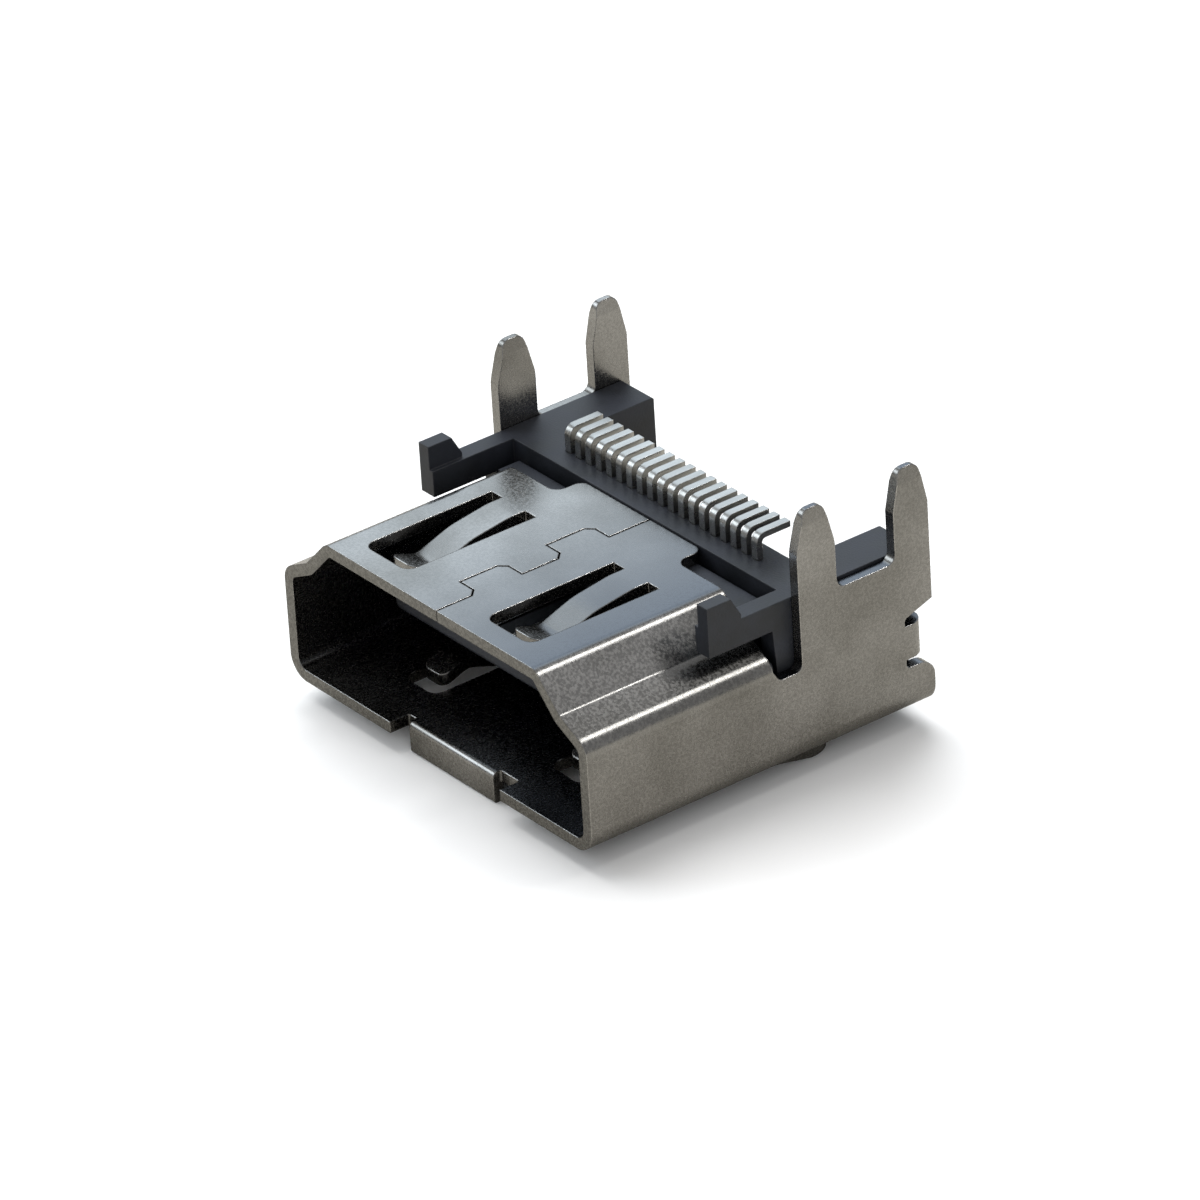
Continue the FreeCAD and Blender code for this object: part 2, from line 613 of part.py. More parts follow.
def make_housing():
    """Mould the insulator: base in the sleeve, ledge behind it and the contact tongue."""
    body = new_body("housing")
    profile = mouth_profile("fit_gap")
    prism(body, "Pad", "base", "Y", profile, "base_front", "wing_rear")
    round_mouth(body, profile)
    half = "ledge_width / 2"
    rear = "carrier_front - fit_gap"
    ledge_top = CEILING + " - fit_gap"
    ledge = [("-" + half, MOULDED_FLOOR), (half, MOULDED_FLOOR), (half, ledge_top), ("-" + half, ledge_top)]
    prism(body, "Pad", "ledge", "Y", ledge, "sleeve_depth + fit_gap", rear)
    slot_front = "carrier_front - ledge_slot"
    slot = block(slot_front, rear, ledge_top + " - ledge_slot_depth", ledge_top)
    prism(body, "Pocket", "ledge_slot_cut", "X", slot, "-" + half, half)
    rounded(body, "ledge_rear_edge", "X", [(slot_front, ledge_top)], "moulded_edge")
    half = "tongue_width / 2"
    tongue = block("-" + half, half, "tongue_front", "base_front")
    prism(body, "Pad", "tongue", "Z", tongue, TONGUE_LOW, TONGUE_HIGH)
    rounded(body, "tongue_corners", "Z", [tongue[0], tongue[1]], "tongue_corner")
    nose = [("tongue_front", TONGUE_LOW), ("tongue_front", TONGUE_HIGH)]
    rounded(body, "tongue_nose", "X", nose, "tongue_rounding")

    def channel(blade):
        low = "%s - contact_gap" % blade
        high = "%s + contact_gauge + contact_gap" % blade
        return block("contact_front - contact_gap", "carrier_front", low, high)

    cut_channels(body, channel)
    return body


def make_tail_block():
    """Mould the contact carrier: wall, end blocks, arms, feet and board stops."""
    body = new_body("tail_block")
    inner = "end_block_inner"
    wall = block("-" + inner, inner, "carrier_front", "carrier_front + wall_depth")
    prism(body, "Pad", "wall", "Z", wall, MOULDED_FLOOR, "carrier_top")
    step_rear = CRIMP_REAR + " - sheet_gauge - fit_gap"
    end_profile = [
        ("carrier_front", MOULDED_FLOOR),
        (step_rear, MOULDED_FLOOR),
        (step_rear, "end_step"),
        ("end_block_rear", "end_step"),
        ("end_block_rear", "carrier_top"),
        ("carrier_front", "carrier_top"),
    ]
    arm_profile = [
        ("foot_front", "arm_floor"),
        ("foot_front + foot_slant", "foot_floor"),
        ("carrier_front + fit_gap", "foot_floor"),
        ("carrier_front + fit_gap", "carrier_top"),
        ("arm_front", "carrier_top"),
        ("arm_front", "arm_floor"),
    ]
    knob_flat = "arm_front + knob_length"
    knob_profile = [
        ("arm_front", "arm_floor"),
        (knob_flat + " + knob_ramp", "arm_floor"),
        (knob_flat + " + knob_ramp", "carrier_top + knob_step"),
        (knob_flat, "knob_top"),
        ("arm_front", "knob_top"),
    ]
    for side, hand in ((1, "right"), (-1, "left")):
        end_x = side_span(side, inner, MOULDED_SIDE)
        prism(body, "Pad", hand + "_end", "X", end_profile, end_x[0], end_x[1])
        low_edge = [(on_side(side, MOULDED_SIDE), MOULDED_FLOOR)]
        rounded(body, hand + "_low_edge", "Y", low_edge, "wide_bend")
        arm_x = side_span(side, MOULDED_SIDE + " - arm_width", MOULDED_SIDE)
        prism(body, "Pad", hand + "_arm", "X", arm_profile, arm_x[0], arm_x[1])
        knob_x = side_span(side, MOULDED_SIDE + " - knob_width", MOULDED_SIDE)
        prism(body, "Pad", hand + "_knob", "X", knob_profile, knob_x[0], knob_x[1])
    rear_edges = [("end_block_rear", "carrier_top"), ("carrier_front", "carrier_top")]
    rounded(body, "rear_top_edges", "X", rear_edges[:1], "moulded_edge")

    def channel(blade):
        low = "%s - contact_gap" % blade
        high = "%s + contact_gauge + contact_gap" % blade
        front = "riser_front - contact_gap"
        rear = "riser_front + contact_gauge + contact_gap"
        return [
            ("carrier_front", low),
            (rear, low),
            (rear, "carrier_top"),
            (front, "carrier_top"),
            (front, high),
            ("carrier_front", high),
        ]

    cut_channels(body, channel)
    return body


def make_contact(number):
    """Form one contact from flat strip: blade, riser and soldered tail."""
    across = "contact_pitch * %d" % (number - (CONTACT_COUNT + 1) // 2)
    body = new_body("contact_%02d" % number, across)
    blade = LOWER_BLADE if number % 2 else UPPER_BLADE
    riser_rear = "riser_front + contact_gauge"
    profile = [
        ("contact_front", blade),
        (riser_rear, blade),
        (riser_rear, "tail_top - contact_gauge"),
        ("tail_end", "tail_top - contact_gauge"),
        ("tail_end", "tail_top"),
        ("riser_front", "tail_top"),
        ("riser_front", blade + " + contact_gauge"),
        ("contact_front", blade + " + contact_gauge"),
    ]
    half = "contact_width / 2"
    prism(body, "Pad", "strip", "X", profile, "-" + half, half)
    rounded(body, "tail_bend_inner", "X", [profile[2]], "contact_bend")
    rounded(body, "tail_bend_outer", "X", [profile[5]], "contact_bend + contact_gauge")
    nose = profile[0] if number % 2 else profile[7]
    rounded(body, "nose", "X", [nose], "contact_nose")
    return body


def finish(body):
    """Check one sub-part and write its file."""
    shape = body.Shape
    if shape.isNull() or not shape.isValid() or len(shape.Solids) != 1:
        raise RuntimeError(body.Label + " is not one valid solid")
    print("%-12s %9.4f mm3 %4d faces" % (body.Label, shape.Volume, len(shape.Faces)))
    shape.exportStep("parts/%s.step" % body.Label)


bodies = [make_shell(), make_housing(), make_tail_block()]
bodies += [make_contact(number) for number in range(1, CONTACT_COUNT + 1)]
for made in bodies:
    settle(made)
for item in document.Objects:
    if "Invalid" in item.State or "Error" in item.State:
        raise RuntimeError("%s did not build: %s" % (item.Name, item.State))
os.makedirs("parts", exist_ok=True)
for made in bodies:
    finish(made)
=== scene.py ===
import bpy
from mathutils import Matrix, Vector


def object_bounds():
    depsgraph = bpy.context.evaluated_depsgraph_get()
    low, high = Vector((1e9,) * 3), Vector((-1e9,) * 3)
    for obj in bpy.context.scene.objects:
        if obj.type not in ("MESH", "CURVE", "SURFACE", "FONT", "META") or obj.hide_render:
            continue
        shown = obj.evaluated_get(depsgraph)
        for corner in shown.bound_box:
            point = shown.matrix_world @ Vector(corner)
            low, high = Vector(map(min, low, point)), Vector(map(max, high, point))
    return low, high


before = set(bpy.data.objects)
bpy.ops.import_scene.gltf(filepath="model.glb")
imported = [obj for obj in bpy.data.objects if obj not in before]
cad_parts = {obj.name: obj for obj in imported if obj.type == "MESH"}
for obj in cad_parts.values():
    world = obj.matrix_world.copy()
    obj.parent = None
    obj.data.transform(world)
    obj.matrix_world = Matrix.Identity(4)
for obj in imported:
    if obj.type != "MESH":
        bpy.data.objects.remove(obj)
CAD_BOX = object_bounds()

bl_info = {
    "name": "Board receptacle",
    "version": (1, 0, 0),
    "blender": (4, 5, 0),
    "location": "3D View > Sidebar > Receptacle",
    "description": "Finishes for a folded-sheet board receptacle, and a plain studio around it",
    "category": "Object",
}

MM = 0.001
FRONT = CAD_BOX[0][1]
BASE = CAD_BOX[0][2]

# The photograph's frame: a long lens about 0.31 m away
PHOTO_SIZE = 1200
FOCAL_PIXELS = 10613.9
SENSOR = 36.0
CAMERA_PLACE = (222.016 * MM, FRONT - 155.607 * MM, BASE + 159.291 * MM)
CAMERA_RIGHT = (0.61284, 0.78832, -0.05460)
CAMERA_UP = (-0.36030, 0.34030, 0.86860)
CAMERA_FORWARD = (-0.70329, 0.51263, -0.49254)
NEAREST_SEEN = 0.01
FURTHEST_SEEN = 20.0

# Lamps: direction seen from the part, distance, side and colour
KEY_LAMP = ((-0.45, 0.15, 0.88), 0.45, 0.42, (1.0, 1.0, 1.0))
FILL_LAMP = ((0.60, -0.60, 0.45), 0.50, 0.40, (1.0, 1.0, 1.0))
BLUE_LAMP = ((-0.70, 0.38, 0.58), 0.60, 0.50, (0.77, 0.90, 1.0))
LIP_LAMP = ((-0.70, -0.49, 0.51), 0.50, 0.20, (0.85, 0.94, 1.0))
BEND_LAMP = ((0.25, 0.51, 0.82), 0.50, 0.08, (1.0, 0.99, 0.96))

# How far the finishes vary: darkest painted shade of hollows, roughness below and above the set one
SHEET_PAINTED_SHADE = 0.15
PLASTIC_PAINTED_SHADE = 0.35
CONTACT_PAINTED_SHADE = 0.30
SHEET_SPREAD = (0.05, 0.07)
MATT_SPREAD = (0.05, 0.06)
CONTACT_WEAR = 0.03 * MM
LINE_STRETCH = (1.0, 0.06, 1.0)


# Small helpers

def own_nodes(prefix):
    """Return the CAD nodes whose names start with a prefix."""
    return [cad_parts[name] for name in sorted(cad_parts) if name.startswith(prefix)]


def dress(nodes, material):
    """Give CAD nodes a material in every slot they have."""
    for node in nodes:
        if not node.data.materials:
            node.data.materials.append(material)
        for index in range(len(node.data.materials)):
            node.data.materials[index] = material


def new_group(name, inputs, outputs):
    """Start a shader group with named sockets."""
    group = bpy.data.node_groups.new(name, "ShaderNodeTree")
    for label, kind, value in inputs:
        socket = group.interface.new_socket(label, in_out="INPUT", socket_type=kind)
        socket.default_value = value
    for label, kind in outputs:
        group.interface.new_socket(label, in_out="OUTPUT", socket_type=kind)
    return group


class Board:
    """Places shader nodes from left to right and wires them by name."""

    def __init__(self, tree):
        self.tree = tree
        self.column = 0

    def add(self, kind, **settings):
        """Add a node, set its properties, and fill or wire its inputs."""
        inputs = settings.pop("inputs", {})
        node = self.tree.nodes.new(kind)
        node.location = (220 * self.column, 0)
        self.column += 1
        for name, value in settings.items():
            setattr(node, name, value)
        for name, value in inputs.items():
            if isinstance(value, bpy.types.NodeSocket):
                self.tree.links.new(value, node.inputs[name])
            else:
                node.inputs[name].default_value = value
        return node

    def math(self, operation, first, second=0.0, clamp=False):
        """Add a sum, product or other operation on two values."""
        node = self.add("ShaderNodeMath", operation=operation, use_clamp=clamp)
        for index, value in enumerate((first, second)):
            if isinstance(value, bpy.types.NodeSocket):
                self.tree.links.new(value, node.inputs[index])
            else:
                node.inputs[index].default_value = value
        return node.outputs[0]

    def span(self, value, low, high, new_low=0.0, new_high=1.0):
        """Map a value from one span to another, held inside it."""
        node = self.add(
            "ShaderNodeMapRange",
            inputs={"Value": value, "From Min": low, "From Max": high, "To Min": new_low, "To Max": new_high},
        )
        return node.outputs["Result"]

    def mix(self, factor, first, second, blend="MIX"):
        """Mix two colours."""
        node = self.add("ShaderNodeMix", data_type="RGBA", blend_type=blend)
        for index, value in ((0, factor), (6, first), (7, second)):
            if isinstance(value, bpy.types.NodeSocket):
                self.tree.links.new(value, node.inputs[index])
            else:
                node.inputs[index].default_value = value
        return node.outputs[2]


def place_on_part(board):
    """Return the Object coordinates."""
    return board.add("ShaderNodeTexCoord").outputs["Object"]


def split(board, vector):
    """Return a node that parts a vector into its three directions."""
    return board.add("ShaderNodeSeparateXYZ", inputs={"Vector": vector})


def noise(board, vector, scale, detail, roughness=0.5):
    """Return the value of a noise."""
    inputs = {"Vector": vector, "Scale": scale, "Detail": detail, "Roughness": roughness}
    return board.add("ShaderNodeTexNoise", inputs=inputs).outputs["Fac"]


# Effects that several finishes share

def edge_wear_group():
    """Build a mask of the edges, where handling polishes a part, and a normal that rounds them."""
    group = new_group(
        "Edge wear",
        [("Width", "NodeSocketFloat", 0.06 * MM), ("Grain", "NodeSocketFloat", 4000.0)],
        [("Mask", "NodeSocketFloat"), ("Normal", "NodeSocketVector")],
    )
    board = Board(group)
    source = board.add("NodeGroupInput")
    bevel = board.add("ShaderNodeBevel", samples=6, inputs={"Radius": source.outputs["Width"]})
    shape = board.add("ShaderNodeNewGeometry")
    likeness = board.add("ShaderNodeVectorMath", operation="DOT_PRODUCT")
    group.links.new(bevel.outputs["Normal"], likeness.inputs[0])
    group.links.new(shape.outputs["Normal"], likeness.inputs[1])
    turned = board.span(likeness.outputs["Value"], 0.995, 0.80)
    grain = noise(board, place_on_part(board), source.outputs["Grain"], 3.0)
    broken = board.span(grain, 0.3, 0.6, 0.35, 1.0)
    mask = board.math("MULTIPLY", turned, broken, clamp=True)
    sink = board.add("NodeGroupOutput")
    group.links.new(mask, sink.inputs["Mask"])
    group.links.new(bevel.outputs["Normal"], sink.inputs["Normal"])
    return group


def hollow_shade_group():
    """Build a value that falls inside hollows, where light hardly reaches, for shade painted into the colour.
    """
    group = new_group(
        "Painted hollow shade",
        [("Reach", "NodeSocketFloat", 2.5 * MM), ("Deepest", "NodeSocketFloat", 0.25)],
        [("Shade", "NodeSocketFloat")],
    )
    board = Board(group)
    source = board.add("NodeGroupInput")
    open_sky = board.add(
        "ShaderNodeAmbientOcclusion", samples=6, inputs={"Distance": source.outputs["Reach"]}
    )
    value = board.span(open_sky.outputs["AO"], 0.10, 0.62, source.outputs["Deepest"], 1.0)
    sink = board.add("NodeGroupOutput")
    group.links.new(value, sink.inputs["Shade"])
    return group


def rolled_grain_group():
    """Build the fine lines and the mottling of rolled and plated sheet."""
    group = new_group(
        "Rolled grain",
        [
            ("Line Scale", "NodeSocketFloat", 9000.0),
            ("Speck Scale", "NodeSocketFloat", 11000.0),
            ("Cloud Scale", "NodeSocketFloat", 320.0),
        ],
        [("Lines", "NodeSocketFloat"), ("Specks", "NodeSocketFloat"), ("Clouds", "NodeSocketFloat")],
    )
    board = Board(group)
    source = board.add("NodeGroupInput")
    place = place_on_part(board)
    stretched = board.add("ShaderNodeMapping", inputs={"Vector": place, "Scale": LINE_STRETCH})
    lines = noise(board, stretched.outputs["Vector"], source.outputs["Line Scale"], 4.0, 0.6)
    specks = noise(board, place, source.outputs["Speck Scale"], 2.0)
    clouds = noise(board, place, source.outputs["Cloud Scale"], 5.0)
    sink = board.add("NodeGroupOutput")
    group.links.new(lines, sink.inputs["Lines"])
    group.links.new(specks, sink.inputs["Specks"])
    group.links.new(clouds, sink.inputs["Clouds"])
    return group


def spark_texture_group():
    """Build the fine even texture that a spark-eroded mould leaves on plastic."""
    group = new_group(
        "Spark texture",
        [("Scale", "NodeSocketFloat", 14000.0), ("Cloud Scale", "NodeSocketFloat", 900.0)],
        [("Height", "NodeSocketFloat"), ("Clouds", "NodeSocketFloat")],
    )
    board = Board(group)
    source = board.add("NodeGroupInput")
    place = place_on_part(board)
    pits = noise(board, place, source.outputs["Scale"], 3.0)
    clouds = noise(board, place, source.outputs["Cloud Scale"], 4.0)
    sink = board.add("NodeGroupOutput")
    group.links.new(pits, sink.inputs["Height"])
    group.links.new(clouds, sink.inputs["Clouds"])
    return group


def painted_top_shade_group():
    """Build a factor that rises from left to right on faces that look up, for painted shade on the top's
    right end.
    """
    group = new_group(
        "Painted top shade",
        [("Low End", "NodeSocketFloat", -2.5 * MM), ("High End", "NodeSocketFloat", 5.0 * MM)],
        [("Factor", "NodeSocketFloat")],
    )
    board = Board(group)
    source = board.add("NodeGroupInput")
    across = split(board, place_on_part(board))
    facing = split(board, board.add("ShaderNodeNewGeometry").outputs["Normal"])
    drift = board.span(across.outputs["X"], source.outputs["Low End"], source.outputs["High End"])
    upward = board.span(facing.outputs["Z"], 0.92, 0.99)
    sink = board.add("NodeGroupOutput")
    group.links.new(board.math("MULTIPLY", drift, upward), sink.inputs["Factor"])
    return group


def cut_edge_group():
    """Build a mask of the mouth's forward-facing front faces, which are drawn darker."""
    group = new_group(
        "Cut edge",
        [("Furthest", "NodeSocketFloat", FRONT + 0.3 * MM)],
        [("Mask", "NodeSocketFloat")],
    )
    board = Board(group)
    source = board.add("NodeGroupInput")
    depth = split(board, place_on_part(board))
    facing = split(board, board.add("ShaderNodeNewGeometry").outputs["Normal"])
    near = board.math("LESS_THAN", depth.outputs["Y"], source.outputs["Furthest"])
    forward = board.span(facing.outputs["Y"], -0.90, -0.99)
    sink = board.add("NodeGroupOutput")
    group.links.new(board.math("MULTIPLY", near, forward), sink.inputs["Mask"])
    return group


def shared_group(name, builder):
    """Return a shared group, built the first time it is asked for."""
    return bpy.data.node_groups.get(name) or builder()


def new_finish(name):
    """Start a material and return it with its board and its shader."""
    material = bpy.data.materials.new(name)
    material.use_nodes = True
    tree = material.node_tree
    tree.nodes.clear()
    board = Board(tree)
    shader = board.add("ShaderNodeBsdfPrincipled")
    output = board.add("ShaderNodeOutputMaterial")
    tree.links.new(shader.outputs["BSDF"], output.inputs["Surface"])
    return material, board, shader


def paint_hollow_shade(board, colour, deepest):
    """Multiply a colour by the painted shade of hollows."""
    painted_hollow = board.add("ShaderNodeGroup", node_tree=shared_group("Painted hollow shade", hollow_shade_group))
    painted_hollow.inputs["Deepest"].default_value = deepest
    return board.mix(1.0, colour, painted_hollow.outputs["Shade"], "MULTIPLY")


def satin(board, pattern, low, high, roughness, spread):
    """Let the roughness follow a pattern, a little below and above the set one."""
    below, above = spread
    return board.span(pattern, low, high, roughness - below, roughness + above)


def bump(board, shader, height, distance, normal):
    """Lay a height over a normal and feed both into the shader."""
    inputs = {"Height": height, "Strength": 1.0, "Distance": distance, "Normal": normal}
    node = board.add("ShaderNodeBump", inputs=inputs)
    board.tree.links.new(node.outputs["Normal"], shader.inputs["Normal"])


# Finishes

def plated_sheet(settings):
    """Satin nickel plating over rolled sheet, dulled in clouds and brighter on its edges, with painted shade
    in its hollows and on the top's right end.
    """
    material, board, shader = new_finish("Plated sheet")
    tree = board.tree
    shader.inputs["Metallic"].default_value = 1.0
    grain = board.add("ShaderNodeGroup", node_tree=shared_group("Rolled grain", rolled_grain_group))
    wear = board.add("ShaderNodeGroup", node_tree=shared_group("Edge wear", edge_wear_group))
    dull = board.span(grain.outputs["Clouds"], 0.35, 0.65)
    plain = board.mix(dull, (*settings.sheet_dull, 1.0), (*settings.sheet_clear, 1.0))
    specks = board.span(grain.outputs["Specks"], 0.40, 0.62, 0.84, 1.05)
    speckled = board.mix(1.0, plain, specks, "MULTIPLY")
    # Painted shade: the top grows darker towards its right end
    drift = board.add("ShaderNodeGroup", node_tree=shared_group("Painted top shade", painted_top_shade_group))
    top_shaded = board.mix(drift.outputs["Factor"], speckled, (*settings.sheet_painted_shade, 1.0))
    worn = board.mix(wear.outputs["Mask"], top_shaded, (*settings.sheet_edge, 1.0))
    cut = board.add("ShaderNodeGroup", node_tree=shared_group("Cut edge", cut_edge_group))
    torn = board.span(grain.outputs["Specks"], 0.34, 0.66, 0.74, 1.24)
    cut_tone = board.mix(1.0, (*settings.sheet_cut, 1.0), torn, "MULTIPLY")
    edged = board.mix(cut.outputs["Mask"], worn, cut_tone)
    # Painted shade: hollows darken the plating's colour
    tree.links.new(paint_hollow_shade(board, edged, SHEET_PAINTED_SHADE), shader.inputs["Base Color"])
    unworn = satin(board, grain.outputs["Specks"], 0.35, 0.65, settings.sheet_roughness, SHEET_SPREAD)
    polish = board.math("MULTIPLY", wear.outputs["Mask"], 0.10)
    roughness = board.math("SUBTRACT", unworn, polish, clamp=True)
    tree.links.new(roughness, shader.inputs["Roughness"])
    fine = board.math("MULTIPLY", grain.outputs["Lines"], 0.12)
    height = board.math("ADD", fine, grain.outputs["Specks"])
    bump(board, shader, height, settings.sheet_grain, wear.outputs["Normal"])
    return material


def moulded_plastic(settings):
    """Black glass-filled plastic with a spark-eroded face and slightly greyed edges."""
    material, board, shader = new_finish("Moulded plastic")
    tree = board.tree
    shader.inputs["Metallic"].default_value = 0.0
    texture = board.add("ShaderNodeGroup", node_tree=shared_group("Spark texture", spark_texture_group))
    wear = board.add("ShaderNodeGroup", node_tree=shared_group("Edge wear", edge_wear_group))
    cloud = board.span(texture.outputs["Clouds"], 0.35, 0.65)
    plain = board.mix(cloud, (*settings.plastic_deep, 1.0), (*settings.plastic_pale, 1.0))
    rubbed = board.math("MULTIPLY", wear.outputs["Mask"], 0.6)
    edged = board.mix(rubbed, plain, (*settings.plastic_edge, 1.0))
    # Painted shade: hollows darken the plastic's colour
    tree.links.new(paint_hollow_shade(board, edged, PLASTIC_PAINTED_SHADE), shader.inputs["Base Color"])
    roughness = satin(board, texture.outputs["Clouds"], 0.3, 0.7, settings.plastic_roughness, MATT_SPREAD)
    tree.links.new(roughness, shader.inputs["Roughness"])
    bump(board, shader, texture.outputs["Height"], settings.plastic_grain, wear.outputs["Normal"])
    return material


def tinned_contact(settings):
    """Bright tin over copper alloy, with fine drawing lines along the strip."""
    material, board, shader = new_finish("Tinned contact")
    tree = board.tree
    shader.inputs["Metallic"].default_value = 1.0
    grain = board.add("ShaderNodeGroup", node_tree=shared_group("Rolled grain", rolled_grain_group))
    wear = board.add("ShaderNodeGroup", node_tree=shared_group("Edge wear", edge_wear_group))
    wear.inputs["Width"].default_value = CONTACT_WEAR
    cloud = board.span(grain.outputs["Clouds"], 0.35, 0.65)
    plain = board.mix(cloud, (*settings.contact_dull, 1.0), (*settings.contact_clear, 1.0))
    bright = board.mix(wear.outputs["Mask"], plain, (*settings.contact_edge, 1.0))
    # Painted shade: hollows darken the contacts' colour
    tree.links.new(paint_hollow_shade(board, bright, CONTACT_PAINTED_SHADE), shader.inputs["Base Color"])
    roughness = satin(board, grain.outputs["Lines"], 0.35, 0.65, settings.contact_roughness, MATT_SPREAD)
    tree.links.new(roughness, shader.inputs["Roughness"])
    bump(board, shader, grain.outputs["Lines"], settings.contact_grain, wear.outputs["Normal"])
    return material


def floor_finish(settings):
    """A pale board, white to the eye and greyer where metal mirrors it."""
    material, board, shader = new_finish("Pale floor")
    path = board.add("ShaderNodeLightPath")
    mirrored = board.mix(
        path.outputs["Is Glossy Ray"], (*settings.floor_colour, 1.0), (*settings.floor_mirrored, 1.0)
    )
    board.tree.links.new(mirrored, shader.inputs["Base Color"])
    shader.inputs["Roughness"].default_value = 0.9
    shader.inputs["Specular IOR Level"].default_value = 0.0
    return material


# Sizes and colours that a user would change

def shade(name, description, default):
    """Describe one colour."""
    return bpy.props.FloatVectorProperty(
        name=name, description=description, default=default, size=3, min=0.0, max=1.0, subtype="COLOR"
    )


def share(name, description, default):
    """Describe one value between nothing and all."""
    return bpy.props.FloatProperty(
        name=name, description=description, default=default, min=0.0, max=1.0, subtype="FACTOR"
    )


def length(name, description, default):
    """Describe one length."""
    return bpy.props.FloatProperty(
        name=name,
        description=description,
        default=default,
        min=0.0,
        precision=6,
        unit="LENGTH",
        subtype="DISTANCE",
    )


def power(name, description, default):
    """Describe the power of one lamp."""
    return bpy.props.FloatProperty(name=name, description=description, default=default, min=0.0, unit="POWER")


class ReceptacleFinish(bpy.types.PropertyGroup):
    """Colours, roughness and grain of the sheet, the plastic and the contacts."""

    sheet_clear: shade("Clear plating", "Colour of the plating where it is bright", (0.38, 0.375, 0.37))
    sheet_dull: shade("Dull plating", "Colour of the plating where it is cloudy", (0.26, 0.255, 0.245))
    # Painted shade laid over the top's right end
    sheet_painted_shade: shade("Painted shade, top right", "Colour of the top's right end", (0.125, 0.135, 0.155))
    sheet_cut: shade("Cut edges", "Colour of the sheet where it was cut", (0.19, 0.187, 0.18))
    sheet_edge: shade("Sheet edges", "Colour of the plating on worn edges", (0.58, 0.57, 0.56))
    sheet_roughness: share("Sheet roughness", "How satin the plating is", 0.25)
    sheet_grain: length("Sheet grain", "Height of the rolled grain", 0.00030 * MM)
    plastic_deep: shade("Deep plastic", "Darkest colour of the mouldings", (0.012, 0.014, 0.018))
    plastic_pale: shade("Pale plastic", "Lightest colour of the mouldings", (0.021, 0.024, 0.033))
    plastic_edge: shade("Plastic edges", "Colour of the mouldings' rubbed edges", (0.05, 0.052, 0.058))
    plastic_roughness: share("Plastic roughness", "How matt the mouldings are", 0.52)
    plastic_grain: length("Plastic grain", "Height of the moulded texture", 0.005 * MM)
    contact_clear: shade("Clear tin", "Colour of the contacts where they are bright", (0.52, 0.52, 0.51))
    contact_dull: shade("Dull tin", "Colour of the contacts where they are cloudy", (0.42, 0.42, 0.41))
    contact_edge: shade("Contact edges", "Colour of the contacts' edges", (0.70, 0.70, 0.69))
    contact_roughness: share("Contact roughness", "How satin the tin is", 0.30)
    contact_grain: length("Contact grain", "Height of the drawing lines", 0.0002 * MM)


class ReceptacleStage(bpy.types.PropertyGroup):
    """Floor and light of the plain studio."""

    floor_colour: shade("Floor", "Colour of the floor", (0.90, 0.90, 0.90))
    floor_mirrored: shade("Mirrored floor", "Colour of the floor in metal", (0.50, 0.472, 0.418))
    floor_width: length("Floor width", "Side of the square floor", 3.0)
    key_power: power("Key light", "Power of the lamp over the left shoulder", 2.3)
    box_power: power("Soft box", "Power of the blue soft box that the top mirrors", 1.0)
    fill_power: power("Fill light", "Power of the lamp that softens the shadow", 0.95)
    lip_power: power("Lip light", "Power of the lamp at the left that the lip mirrors", 0.40)
    strip_power: power("Bend light", "Power of the small lamp that draws lines along the bends", 0.25)
    sky: share("Surroundings", "Strength of the even light from all round", 0.345)


# Operators, one for each group of pieces

class RECEPTACLE_OT_shell(bpy.types.Operator):
    """Plate the folded sheet"""

    bl_idname = "receptacle.shell"
    bl_label = "Plate the Shell"

    def execute(self, context):
        dress(own_nodes("shell"), plated_sheet(context.scene.receptacle_finish))
        return {"FINISHED"}


class RECEPTACLE_OT_mouldings(bpy.types.Operator):
    """Texture the tongue moulding and the contact carrier"""

    bl_idname = "receptacle.mouldings"
    bl_label = "Texture the Mouldings"

    def execute(self, context):
        plastic = moulded_plastic(context.scene.receptacle_finish)
        dress(own_nodes("housing") + own_nodes("tail_block"), plastic)
        return {"FINISHED"}


class RECEPTACLE_OT_contacts(bpy.types.Operator):
    """Tin the contacts"""

    bl_idname = "receptacle.contacts"
    bl_label = "Tin the Contacts"

    def execute(self, context):
        dress(own_nodes("contact_"), tinned_contact(context.scene.receptacle_finish))
        return {"FINISHED"}


class RECEPTACLE_OT_stage(bpy.types.Operator):
    """Lay the floor, hang the lights and set the camera"""

    bl_idname = "receptacle.stage"
    bl_label = "Set the Stage"

    def execute(self, context):
        settings = context.scene.receptacle_stage
        lay_floor(settings)
        light_part(settings)
        surround(context.scene, settings)
        aim_camera(context.scene)
        return {"FINISHED"}


def lay_floor(settings):
    """Lay the floor under the part."""
    bpy.ops.object.select_all(action="DESELECT")
    bpy.ops.mesh.primitive_plane_add(size=settings.floor_width, location=(0.0, 0.0, BASE))
    floor = bpy.context.object
    floor.name = "floor"
    bpy.ops.object.transform_apply(location=True, rotation=True, scale=True)
    floor.data.materials.append(floor_finish(settings))


def soft_box(name, form, energy, mirrored=True):
    """Hang one square lamp that faces the part."""
    direction, distance, size, colour = form
    lamp = bpy.data.lights.new(name, "AREA")
    lamp.shape = "SQUARE"
    lamp.size = size
    lamp.energy = energy
    lamp.color = colour
    item = bpy.data.objects.new(name, lamp)
    away = Vector(direction).normalized()
    item.location = away * distance
    item.rotation_euler = away.to_track_quat("Z", "Y").to_euler()
    item.visible_glossy = mirrored
    bpy.context.scene.collection.objects.link(item)


def light_part(settings):
    """Hang key and fill, which no metal mirrors, then the three lamps that metal does mirror."""
    soft_box("key_light", KEY_LAMP, settings.key_power, mirrored=False)
    soft_box("fill_light", FILL_LAMP, settings.fill_power, mirrored=False)
    soft_box("blue_box", BLUE_LAMP, settings.box_power)
    soft_box("lip_light", LIP_LAMP, settings.lip_power)
    soft_box("bend_light", BEND_LAMP, settings.strip_power)


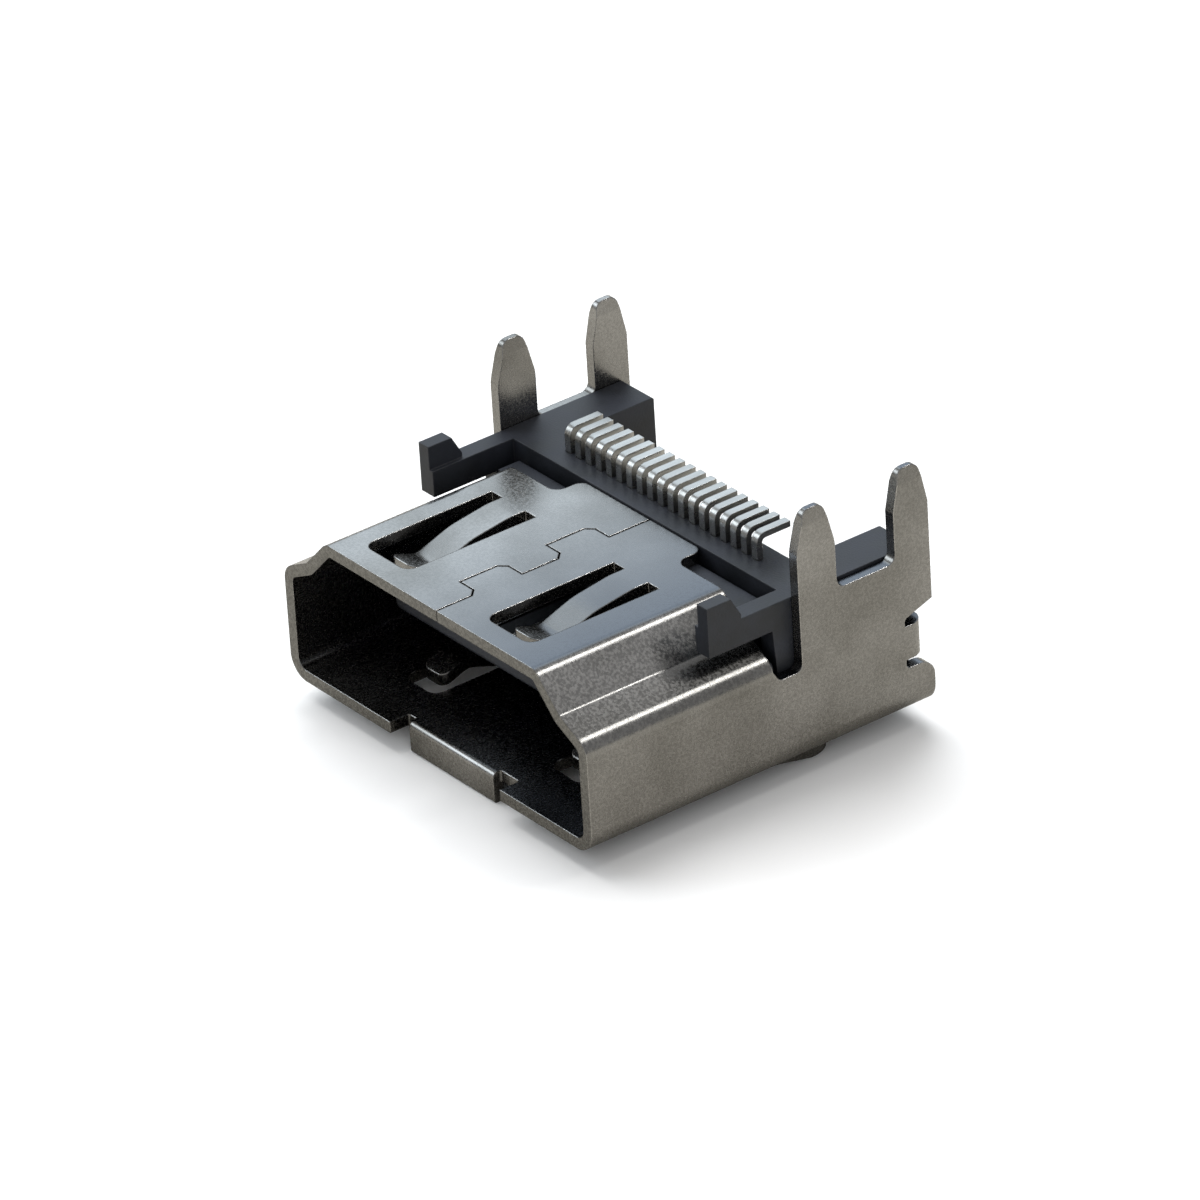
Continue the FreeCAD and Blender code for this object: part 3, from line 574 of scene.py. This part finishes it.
def surround(scene, settings):
    """Fill the world with even light, white to the camera."""
    world = bpy.data.worlds.new("surroundings")
    world.use_nodes = True
    tree = world.node_tree
    tree.nodes.clear()
    board = Board(tree)
    path = board.add("ShaderNodeLightPath")
    strength = board.span(path.outputs["Is Camera Ray"], 0.0, 1.0, settings.sky, 1.0)
    background = board.add("ShaderNodeBackground", inputs={"Strength": strength})
    background.inputs["Color"].default_value = (1.0, 1.0, 1.0, 1.0)
    output = board.add("ShaderNodeOutputWorld")
    tree.links.new(background.outputs["Background"], output.inputs["Surface"])
    scene.world = world


def aim_camera(scene):
    """Set the photograph's camera."""
    lens = bpy.data.cameras.new("camera")
    lens.sensor_fit = "HORIZONTAL"
    lens.sensor_width = SENSOR
    lens.lens = SENSOR * FOCAL_PIXELS / PHOTO_SIZE
    lens.clip_start = NEAREST_SEEN
    lens.clip_end = FURTHEST_SEEN
    camera = bpy.data.objects.new("camera", lens)
    right, up = Vector(CAMERA_RIGHT), Vector(CAMERA_UP)
    turn = Matrix((right, up, -Vector(CAMERA_FORWARD))).transposed()
    camera.matrix_world = Matrix.Translation(CAMERA_PLACE) @ turn.to_4x4()
    scene.collection.objects.link(camera)
    scene.camera = camera


class RECEPTACLE_PT_panel(bpy.types.Panel):
    """Lists the finishes and the stage"""

    bl_idname = "RECEPTACLE_PT_panel"
    bl_label = "Receptacle"
    bl_space_type = "VIEW_3D"
    bl_region_type = "UI"
    bl_category = "Receptacle"

    def draw(self, context):
        layout = self.layout
        for operator in OPERATORS:
            layout.operator(operator.bl_idname)
        for group in (context.scene.receptacle_finish, context.scene.receptacle_stage):
            for name in group.__annotations__:
                layout.prop(group, name)


OPERATORS = (RECEPTACLE_OT_shell, RECEPTACLE_OT_mouldings, RECEPTACLE_OT_contacts, RECEPTACLE_OT_stage)
CLASSES = (ReceptacleFinish, ReceptacleStage, *OPERATORS, RECEPTACLE_PT_panel)


def register():
    """Register the classes and hang the settings on the scene."""
    for cls in CLASSES:
        bpy.utils.register_class(cls)
    bpy.types.Scene.receptacle_finish = bpy.props.PointerProperty(type=ReceptacleFinish)
    bpy.types.Scene.receptacle_stage = bpy.props.PointerProperty(type=ReceptacleStage)


def unregister():
    """Remove the settings and the classes."""
    del bpy.types.Scene.receptacle_stage
    del bpy.types.Scene.receptacle_finish
    for cls in reversed(CLASSES):
        bpy.utils.unregister_class(cls)


def main():
    """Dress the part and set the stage."""
    register()
    bpy.ops.receptacle.shell()
    bpy.ops.receptacle.mouldings()
    bpy.ops.receptacle.contacts()
    bpy.ops.receptacle.stage()
    bpy.context.scene.view_settings.view_transform = "Standard"
    bpy.context.view_layer.update()


if __name__ == "__main__":
    main()
